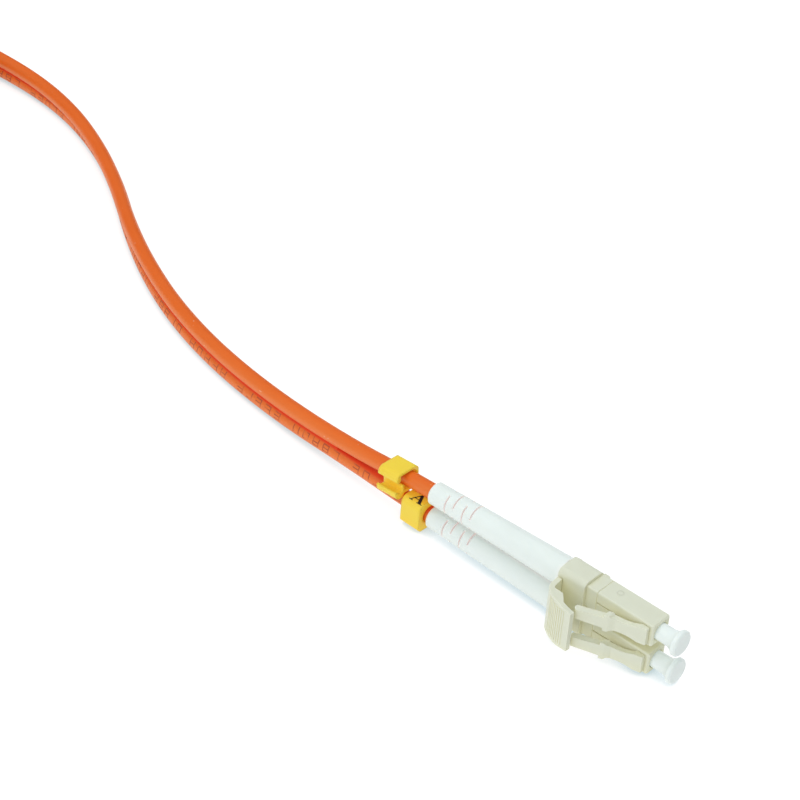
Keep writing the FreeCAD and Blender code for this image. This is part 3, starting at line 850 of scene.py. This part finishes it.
def jacket_finish(sizes):
    """Extruded jacket: streaks along it, painted red bounce light and a painted glow in the crease between
    the cords, printed strokes and a few pale specks.
    """
    finish = Finish(
        "jacket_orange",
        Specular_IOR_Level=1.0,
        Specular_Tint=SHEEN_TINT,
        # Strength of the painted glow between the cords
        Emission_Strength=sizes.painted_bounce_glow,
    )
    along, joined, up, out, level = (finish.attribute(name) for name in JACKET_MARKS)
    cloud = finish.noise(JACKET_CLOUDS, RICH)
    streak = finish.noise(JACKET_STREAKS, PLAIN, STREAK_STRETCH)
    speck = finish.noise(SPECKS, SINGLE).rise(*SPECK_RISE)
    colour = finish.tones(sizes.colour, JACKET_TONES, CLOUD_SHARE * cloud + STREAK_SHARE * streak)
    # Painted bounce light and shade: the cords' inner faces turn deep red and glow, most where they are
    # joined
    inner = up * (1 - 2 * level)
    painted_crease_bounce = inner.rise(*JOINED_PAINTED_BOUNCE) * joined
    painted_crease_bounce = painted_crease_bounce + OPEN_PAINTED_BOUNCE_SHARE * inner.rise(*OPEN_PAINTED_BOUNCE) * (1 - joined)
    colour = finish.blend(colour, shade(sizes.painted_crease_bounce), painted_crease_bounce)
    glow = finish.blend(BLACK, shade(sizes.painted_crease_bounce), painted_crease_bounce)
    ink = printed_strokes(finish, sizes, along, up, out, level)
    ink = ink * finish.noise(INK_WEAR).rise(*INK_RISE)
    colour = finish.blend(colour, shade(sizes.ink), INK_SHARE * ink)
    colour = finish.blend(colour, SPECK_COLOUR, SPECK_SHARE * speck)
    normal = finish.bump(streak, *STREAK_BUMP)
    roughness = JACKET_ROUGHNESS + CLOUD_ROUGHNESS * (cloud - 0.5) + STREAK_ROUGHNESS * streak
    roughness = roughness + MARK_ROUGHNESS * painted_crease_bounce.larger(ink)
    return finish.feed(Base_Color=colour, Roughness=roughness, Emission_Color=glow, Normal=normal)


# The print: the step between its random numbers, the share of strokes that chance leaves out, and the
# signs left out at a group's end
PRINT_SEED = 37.5
LEFT_OUT = 0.45
GROUP_GAP = 1.5


def printed_strokes(finish, sizes, along, up, out, level):
    """A row of plain signs on the lower cord: each has an upright and, by chance, other strokes."""
    cell = along / sizes.print_pitch
    number = cell.whole()
    across = (cell.part() - 0.5) * sizes.print_pitch
    height = (up.arcsine() - sizes.print_rise) * sizes.radius
    wide, high, thick = sizes.print_width / 2, sizes.print_height / 2, sizes.print_stroke / 2
    strokes = abs(across + wide) < thick
    for seed, line in enumerate((across - wide, height - high, height, height + high)):
        drawn = finish.random(number + PRINT_SEED * (seed + 1)) > LEFT_OUT
        strokes = strokes.larger((abs(line) < thick) * drawn)
    inside = (abs(across) < wide + thick) * (abs(height) < high + thick)
    group = (number / sizes.print_group).part() < 1 - GROUP_GAP / sizes.print_group
    return strokes * inside * group * (out < 0) * (level < 0.5)


class PATCHCORD_OT_plugs(bpy.types.Operator):
    """Give the housings, latches, rear bodies, clips and triggers their moulded plastic"""

    bl_idname = "patchcord.plugs"
    bl_label = "Plugs"

    def execute(self, context):
        looks = context.scene.patch_cord.plug
        dress(pair("housing"), moulded("plug_housing", looks, pin_marks))
        plain = pair("latch") + pair("rear_body") + both_ends("duplex_clip")
        dress(plain, moulded("plug_beige", looks))
        dress(both_ends("trigger"), moulded("trigger_beige", looks, edge=looks.rib_edge))
        return {"FINISHED"}


class PATCHCORD_OT_boots(bpy.types.Operator):
    """Give the boots their soft white plastic"""

    bl_idname = "patchcord.boots"
    bl_label = "Boots"

    def execute(self, context):
        dress(pair("boot"), moulded("boot_white", context.scene.patch_cord.boot))
        return {"FINISHED"}


class PATCHCORD_OT_caps(bpy.types.Operator):
    """Give the dust caps their smooth white plastic"""

    bl_idname = "patchcord.caps"
    bl_label = "Dust caps"

    def execute(self, context):
        looks = context.scene.patch_cord.cap
        dress(pair("dust_cap"), moulded("cap_white", looks, Coat_Weight=looks.coat))
        return {"FINISHED"}


class PATCHCORD_OT_markers(bpy.types.Operator):
    """Give the cord markers their yellow plastic"""

    bl_idname = "patchcord.markers"
    bl_label = "Cord markers"

    def execute(self, context):
        dress(pair("marker"), moulded("marker_yellow", context.scene.patch_cord.marker))
        return {"FINISHED"}


# The letter's outline and its eye, with a height of 1 and its foot's middle at 0

LETTER_OUTLINE = (
    (-0.60, 0), (-0.25, 0), (-0.25, 0.05), (-0.37, 0.06), (-0.26, 0.30), (0.11, 0.30),
    (0.22, 0.06), (0.13, 0.05), (0.13, 0), (0.62, 0), (0.62, 0.05), (0.50, 0.06),
    (0.06, 1.0), (-0.03, 1.0), (-0.46, 0.06), (-0.60, 0.05),
)
LETTER_EYE = ((-0.23, 0.36), (0.085, 0.36), (-0.076, 0.70))
# Its place from the marker's middle, as shares of the marker's length and width
LETTER_ALONG = 0.08
LETTER_ACROSS = -0.17
# Cuts in its edges, so that it can follow the marker's rounded edge
LETTER_CUTS = 4
# Its ink: grain to a metre, tones as shares of its colour, its roughness, and what wear adds to it
INK_GRAIN = 2600.0
INK_TONES = (1.0, 2.2)
INK_ROUGHNESS = 0.5
WORN_ROUGHNESS = 0.2


class PATCHCORD_OT_letters(bpy.types.Operator):
    """Print the letter on top of each ring marker"""

    bl_idname = "patchcord.letters"
    bl_label = "Marker letters"

    def execute(self, context):
        looks = context.scene.patch_cord.marker
        finish = Finish("letter_ink", Specular_IOR_Level=0.3)
        worn = finish.noise(INK_GRAIN, RICH)
        colour = finish.tones(looks.ink, INK_TONES, worn)
        roughness = INK_ROUGHNESS + WORN_ROUGHNESS * worn
        material = finish.feed(Base_Color=colour, Roughness=roughness)
        for end in ENDS:
            mesh = self.letter(looks)
            self.seat(mesh, end + "marker_lower")
            new_piece(context, end + "marker_letter", mesh, material)
        return {"FINISHED"}

    def letter(self, looks):
        curve = bpy.data.curves.new("letter", "CURVE")
        curve.dimensions = "2D"
        curve.fill_mode = "BOTH"
        curve.extrude = looks.letter_stand
        for outline in (LETTER_OUTLINE, LETTER_EYE):
            spline = curve.splines.new("POLY")
            spline.points.add(len(outline) - 1)
            spline.use_cyclic_u = True
            for place, (x, y) in zip(spline.points, outline):
                place.co = (x * looks.letter_height, (y - 0.5) * looks.letter_height, 0, 1)
        carrier = bpy.data.objects.new("letter", curve)
        mesh = bpy.data.meshes.new_from_object(carrier)
        mesh.materials.clear()
        bpy.data.objects.remove(carrier)
        bpy.data.curves.remove(curve)
        body = bmesh.new()
        body.from_mesh(mesh)
        bmesh.ops.subdivide_edges(body, edges=body.edges, cuts=LETTER_CUTS, use_grid_fill=True)
        body.to_mesh(mesh)
        body.free()
        return mesh

    def seat(self, mesh, node):
        """Lay the letter on the marker's top, near its open side, down onto the rounded edge."""
        marker = frame["nodes"][node]
        low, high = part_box(node)
        shift = (LETTER_ALONG * (high.x - low.x), LETTER_ACROSS * (high.y - low.y), 0)
        place = (low + high) / 2 + Vector(shift)
        for vertex in mesh.vertices:
            over = Vector((place.x + vertex.co.x, place.y + vertex.co.y, 2 * high.z))
            hit, touched, _, _ = marker.ray_cast(over, DOWN)
            if not hit:
                raise RuntimeError(f"the letter reaches past {node}")
            vertex.co = touched + Vector((0, 0, vertex.co.z))


# The metals inside the plugs: colour, roughness, and lines to a metre along each axis
NICKEL = ((0.66, 0.63, 0.57), 0.28, (4000, 0, 0))
CRIMP_METAL = ((0.70, 0.71, 0.72), 0.38, (60, 2500, 2500))
SPRING_STEEL = ((0.50, 0.50, 0.52), 0.32, (900, 900, 900))
# The ferrule's ceramic and the fibre's coating: two tones, clouds to a metre, and roughness
CERAMIC_TONES = ((0.84, 0.84, 0.81, 1), (0.90, 0.90, 0.88, 1))
CERAMIC_CLOUDS = 1500.0
CERAMIC_ROUGHNESS = 0.12
CERAMIC_UNEVEN = 0.08
GROUND_LINES = (9000, 0, 0)
GROUND_BUMP = (0.05, 1e-5)
COATING_TONES = ((0.80, 0.81, 0.79, 1), (0.86, 0.87, 0.85, 1))
COATING_CLOUDS = 600.0
COATING_ROUGHNESS = 0.3
COATING_UNEVEN = 0.1


class PATCHCORD_OT_inner_parts(bpy.types.Operator):
    """Give the parts inside the plugs their ceramic, metal and coating"""

    bl_idname = "patchcord.inner_parts"
    bl_label = "Inner parts"

    def execute(self, context):
        dress(pair("ferrule"), self.ceramic())
        dress(pair("ferrule_flange"), metal("nickel", *NICKEL))
        dress(pair("crimp_sleeve"), metal("crimp_metal", *CRIMP_METAL))
        dress(pair("fibre"), self.coating())
        return {"FINISHED"}

    def ceramic(self):
        finish = Finish("ceramic_white", Coat_Weight=0.4)
        cloud = finish.noise(CERAMIC_CLOUDS, RICH)
        colour = finish.blend(*CERAMIC_TONES, cloud)
        normal = finish.bump(finish.noise(1.0, SMOOTH, GROUND_LINES), *GROUND_BUMP)
        roughness = CERAMIC_ROUGHNESS + CERAMIC_UNEVEN * cloud
        return finish.feed(Base_Color=colour, Roughness=roughness, Normal=normal)

    def coating(self):
        finish = Finish("fibre_white")
        cloud = finish.noise(COATING_CLOUDS)
        colour = finish.blend(*COATING_TONES, cloud)
        return finish.feed(Base_Color=colour, Roughness=COATING_ROUGHNESS + COATING_UNEVEN * cloud)


SPRING_CREASE = math.radians(60)


class PATCHCORD_OT_springs(bpy.types.Operator):
    """Wind the spring behind each ferrule, and work out how far it would shorten as its ferrule is pushed
    in, which is not applied
    """

    bl_idname = "patchcord.springs"
    bl_label = "Springs"

    def execute(self, context):
        sizes = context.scene.patch_cord.spring
        material = metal("spring_steel", *SPRING_STEEL)
        for end in ENDS:
            for level in LEVELS:
                node = f"{end}ferrule_spring_{level}"
                low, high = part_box(node)
                axis = middle(f"{end}ferrule_flange_{level}")
                back = Vector((low.x, axis.y, axis.z))
                mesh = self.wound(sizes, back, high.x - low.x)
                piece = new_piece(context, f"{end}spring_{level}", mesh, material)
                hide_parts(node)
                travel = self.travel(f"{end}ferrule_{level}_float")
                keep = 1 - travel / (high.x - low.x)
                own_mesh(piece)
        return {"FINISHED"}

    def travel(self, name):
        for joint in frame["joints"]:
            if joint["name"] == name:
                return max(abs(limit) for limit in joint["range_m"])
        raise RuntimeError(f"there is no joint {name}")

    def wound(self, sizes, back, length):
        turns = (length - 2 * sizes.wire) / sizes.pitch
        count = round(turns * sizes.points_per_turn)
        body = bmesh.new()
        rings = []
        for number in range(count + 1):
            angle = math.tau * turns * number / count
            out = Vector((0, math.cos(angle), math.sin(angle)))
            ahead = sizes.wire + sizes.pitch * turns * number / count
            centre = back + Vector((ahead, 0, 0)) + sizes.radius * out
            ring = []
            for side in range(sizes.sides):
                around = math.tau * side / sizes.sides
                edge = math.cos(around) * out + Vector((math.sin(around), 0, 0))
                ring.append(body.verts.new(centre + sizes.wire * edge))
            rings.append(ring)
        skin(body, rings)
        return smooth_mesh("spring", body, SPRING_CREASE)


# The strap's path: steps in a turn, where it begins, its clearance and its lift over its first turn in
# thicknesses, the turns where that lift begins and how long it takes, its tip, and its waves
STRAP_STEPS = 96
STRAP_START = 0.6
STRAP_CLEAR = 0.6
LIFT = 1.1
LIFT_START = 0.9
LIFT_LENGTH = 0.1
TIP_NARROWING = 0.35
TIP_LENGTH = 0.03
WAVE = 0.00012
WAVES = 3.0
STRAP_CREASE = math.radians(40)
# Its section, a little domed: across in half widths, and outward in thicknesses
STRAP_SECTION = ((-1, 0.5), (0, 0.62), (1, 0.5), (1, -0.5), (0, -0.38), (-1, -0.5))
# Its weave: pile and ribs to a metre, tones as shares of its colour, and how rough it is
PILE = 3800.0
RIBS = 2600.0
RIB_SHARE = 0.5
PILE_TONES = (0.7, 2.0)
WEAVE_BUMP = (0.6, 1e-4)
WEAVE_ROUGHNESS = 0.85
PILE_ROUGHNESS = 0.1


class PATCHCORD_OT_coil_strap(bpy.types.Operator):
    """Wind the woven strap round the coil, its loose end over its first turn"""

    bl_idname = "patchcord.coil_strap"
    bl_label = "Coil strap"

    def execute(self, context):
        sizes = context.scene.patch_cord.strap
        across, tall, centre = self.loop(sizes, context.scene.patch_cord.jacket)
        body = bmesh.new()
        rings = []
        for number in range(round(STRAP_STEPS * sizes.overlap) + 1):
            turn = number / STRAP_STEPS
            angle = math.tau * turn - STRAP_START
            lift = sizes.thickness * LIFT * min(1.0, max(0.0, (turn - LIFT_START) / LIFT_LENGTH))
            way = (math.cos(angle), 0, math.sin(angle))
            out = Vector([self.squared(value, sizes) for value in way])
            place = centre + Vector((out.x * (across + lift), 0, out.z * (tall + lift)))
            normal = Vector((out.x * tall, 0, out.z * across)).normalized()
            tip = max(0.0, (turn - sizes.overlap + TIP_LENGTH) / TIP_LENGTH)
            half = sizes.width / 2 * (1 - TIP_NARROWING * tip**2)
            wave = WAVE * math.sin(math.tau * WAVES * turn)
            ring = []
            for side, deep in STRAP_SECTION:
                edge = Vector((0, side * half + wave, 0))
                ring.append(body.verts.new(place + normal * deep * sizes.thickness + edge))
            rings.append(ring)
        skin(body, rings)
        mesh = smooth_mesh("coil_strap", body, STRAP_CREASE)
        turned = Matrix.Rotation(sizes.angle, 4, "Z")
        mesh.transform(Matrix.Translation(self.coil_middle()) @ turned)
        piece = new_piece(context, "coil_strap", mesh, self.weave(sizes))
        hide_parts("coil_tie")
        return {"FINISHED"}

    def loop(self, sizes, jacket):
        """Half the loop's width and height, and its middle, from the coil's turns at the strap."""
        first = (sizes.angle - jacket.coil_entry) / math.tau % 1
        turns = range(math.ceil(jacket.coil_turns - first))
        radii = [turn_radius(jacket, first + turn) for turn in turns]
        outer = max(radii) + jacket.radius
        inner = min(radii) - jacket.radius
        low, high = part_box("cord_coil")
        across = (outer - inner) / 2 + STRAP_CLEAR * sizes.thickness
        tall = (high.z - low.z) / 2 + STRAP_CLEAR * sizes.thickness
        return across, tall, Vector(((outer + inner) / 2, 0, (low.z + high.z) / 2))

    def squared(self, value, sizes):
        return math.copysign(abs(value) ** (2 / sizes.squareness), value)

    def coil_middle(self):
        centre = middle("cord_coil")
        return Vector((centre.x, centre.y, 0))

    def weave(self, sizes):
        finish = Finish("tie_black", Specular_IOR_Level=0.2)
        pile = finish.noise(PILE, RICH)
        rib = finish.noise(RIBS, SMOOTH)
        colour = finish.tones(sizes.colour, PILE_TONES, pile)
        normal = finish.bump(pile + RIB_SHARE * rib, *WEAVE_BUMP)
        roughness = WEAVE_ROUGHNESS + PILE_ROUGHNESS * (pile - 0.5)
        return finish.feed(Base_Color=colour, Roughness=roughness, Normal=normal)


# The lights' sides and places, in metres
KEY_SIDE = 0.8
KEY_PLACE = Vector((-0.15, 0.35, 0.85))
FILL_SIDE = 0.9
FILL_PLACE = Vector((-0.08, -0.72, 0.60))
# The floor's clouds to a metre, its tones as shares of its colour, and its shadow's soft edge
FLOOR_CLOUDS = 3.0
FLOOR_TONES = (0.995, 1.0)
SHADOW_EDGE = (0.2, 0.7)


class PATCHCORD_OT_stage(bpy.types.Operator):
    """Lay the pale floor, and set the lights and the camera"""

    bl_idname = "patchcord.stage"
    bl_label = "Stage"

    def execute(self, context):
        sizes = context.scene.patch_cord.stage
        self.floor(context, sizes)
        self.sky(context, sizes)
        key = self.lamp(context, "key", sizes.key, KEY_SIDE, KEY_PLACE)
        key.visible_glossy = False
        self.lamp(context, "fill", sizes.fill, FILL_SIDE, FILL_PLACE)
        self.camera(context, sizes)
        return {"FINISHED"}

    def floor(self, context, sizes):
        mesh = bpy.data.meshes.new("floor")
        body = bmesh.new()
        bmesh.ops.create_grid(body, x_segments=1, y_segments=1, size=sizes.floor / 2)
        body.to_mesh(mesh)
        body.free()
        finish = Finish(
            "floor", Roughness=0.9, Specular_IOR_Level=0.1, Emission_Strength=sizes.floor_glow
        )
        lit = finish.open_air(sizes.shadow_reach).rise(*SHADOW_EDGE)
        glow = finish.blend(shade(sizes.shadow_colour), WHITE, lit)
        colour = finish.tones(sizes.floor_colour, FLOOR_TONES, finish.noise(FLOOR_CLOUDS))
        mesh.materials.append(finish.feed(Base_Color=colour, Emission_Color=glow))
        floor = bpy.data.objects.new("floor", mesh)
        floor.location.z = cad_box[0].z
        context.scene.collection.objects.link(floor)

    def sky(self, context, sizes):
        world = bpy.data.worlds.new("even_light")
        world.use_nodes = True
        sky = world.node_tree.nodes["Background"]
        sky.inputs["Color"].default_value = (*sizes.sky_colour, 1.0)
        sky.inputs["Strength"].default_value = sizes.sky
        context.scene.world = world
        world.cycles_visibility.glossy = False

    def lamp(self, context, name, power, side, place):
        lamp = bpy.data.lights.new(name, "AREA")
        lamp.energy = power
        lamp.size = side
        light = bpy.data.objects.new(name, lamp)
        light.location = place
        light.rotation_euler = (-place).to_track_quat("-Z", "Y").to_euler()
        context.scene.collection.objects.link(light)
        return light

    def camera(self, context, sizes):
        turn, level = sizes.turn, math.cos(sizes.rise)
        back = Vector((math.sin(turn) * level, -math.cos(turn) * level, math.sin(sizes.rise)))
        right = Vector((math.cos(turn), math.sin(turn), 0))
        facing = Matrix((right, back.cross(right), back)).transposed()
        facing = (facing @ Matrix.Rotation(sizes.roll, 3, "Z")).to_4x4()
        lens = bpy.data.cameras.new("photo_view")
        lens.lens = sizes.lens
        lens.sensor_width = 36.0
        lens.clip_start = 0.01
        camera = bpy.data.objects.new("photo_view", lens)
        camera.matrix_world = Matrix.Translation(plug_front("") + Vector(sizes.eye)) @ facing
        context.scene.collection.objects.link(camera)
        context.scene.camera = camera
        context.scene.view_settings.view_transform = "Standard"


class PATCHCORD_PT_panel(bpy.types.Panel):
    """The patch cord's pieces, in the order that they are dressed, and their colours"""

    bl_label = "Patch cord"
    bl_idname = "PATCHCORD_PT_panel"
    bl_space_type = "VIEW_3D"
    bl_region_type = "UI"
    bl_category = "Patch cord"

    def draw(self, context):
        for step in STEPS:
            self.layout.operator(step.bl_idname)
        looks = context.scene.patch_cord
        for group in (looks.jacket, looks.plug, looks.boot, looks.cap, looks.marker, looks.strap):
            self.layout.prop(group, "colour")


STEPS = (
    PATCHCORD_OT_plugs,
    PATCHCORD_OT_boots,
    PATCHCORD_OT_caps,
    PATCHCORD_OT_markers,
    PATCHCORD_OT_letters,
    PATCHCORD_OT_inner_parts,
    PATCHCORD_OT_springs,
    PATCHCORD_OT_coil_strap,
    PATCHCORD_OT_twin_jacket,
    PATCHCORD_OT_stage,
)
CLASSES = (
    JacketSizes,
    PlugPlastic,
    BootPlastic,
    CapPlastic,
    MarkerPlastic,
    SpringSizes,
    StrapSizes,
    StageSizes,
    CordLooks,
    *STEPS,
    PATCHCORD_PT_panel,
)


def register():
    for kind in CLASSES:
        bpy.utils.register_class(kind)
    bpy.types.Scene.patch_cord = PointerProperty(type=CordLooks)


def unregister():
    del bpy.types.Scene.patch_cord
    for kind in reversed(CLASSES):
        bpy.utils.unregister_class(kind)


def main():
    register()
    bpy.ops.patchcord.plugs()
    bpy.ops.patchcord.boots()
    bpy.ops.patchcord.caps()
    bpy.ops.patchcord.markers()
    bpy.ops.patchcord.letters()
    bpy.ops.patchcord.inner_parts()
    bpy.ops.patchcord.springs()
    bpy.ops.patchcord.coil_strap()
    bpy.ops.patchcord.twin_jacket()
    bpy.ops.patchcord.stage()


if __name__ == "__main__":
    main()
